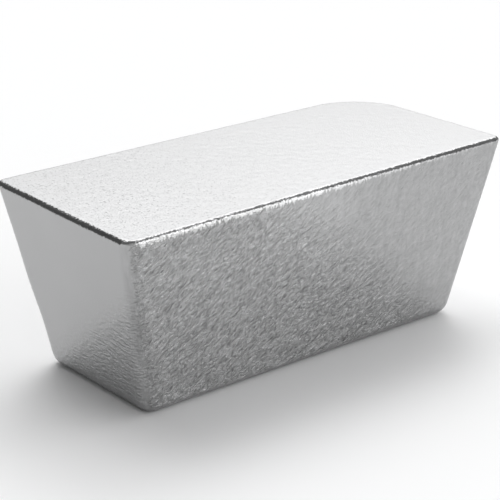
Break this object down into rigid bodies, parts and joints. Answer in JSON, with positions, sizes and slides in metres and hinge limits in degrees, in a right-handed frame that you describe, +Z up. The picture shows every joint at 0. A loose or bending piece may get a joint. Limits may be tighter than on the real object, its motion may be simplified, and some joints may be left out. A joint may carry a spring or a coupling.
{
  "type": "metal ingot",
  "caption": "Cast metal ingot: one solid tapered block with leaning walls, rounded edges and a wider poured face on top.",
  "frame": {"origin": "middle of the base, on the surface that the ingot lies on", "axes": "+X along the ingot, towards the end with the one wide corner; +Y across it, towards that corner; +Z up, from the base to the poured face"},
  "size_m": [0.2999, 0.139, 0.124],
  "materials": {
    "cast_metal": "satin"
  },
  "bodies": {
    "root": {"ingot": "cast_metal"}
  },
  "joints": []
}
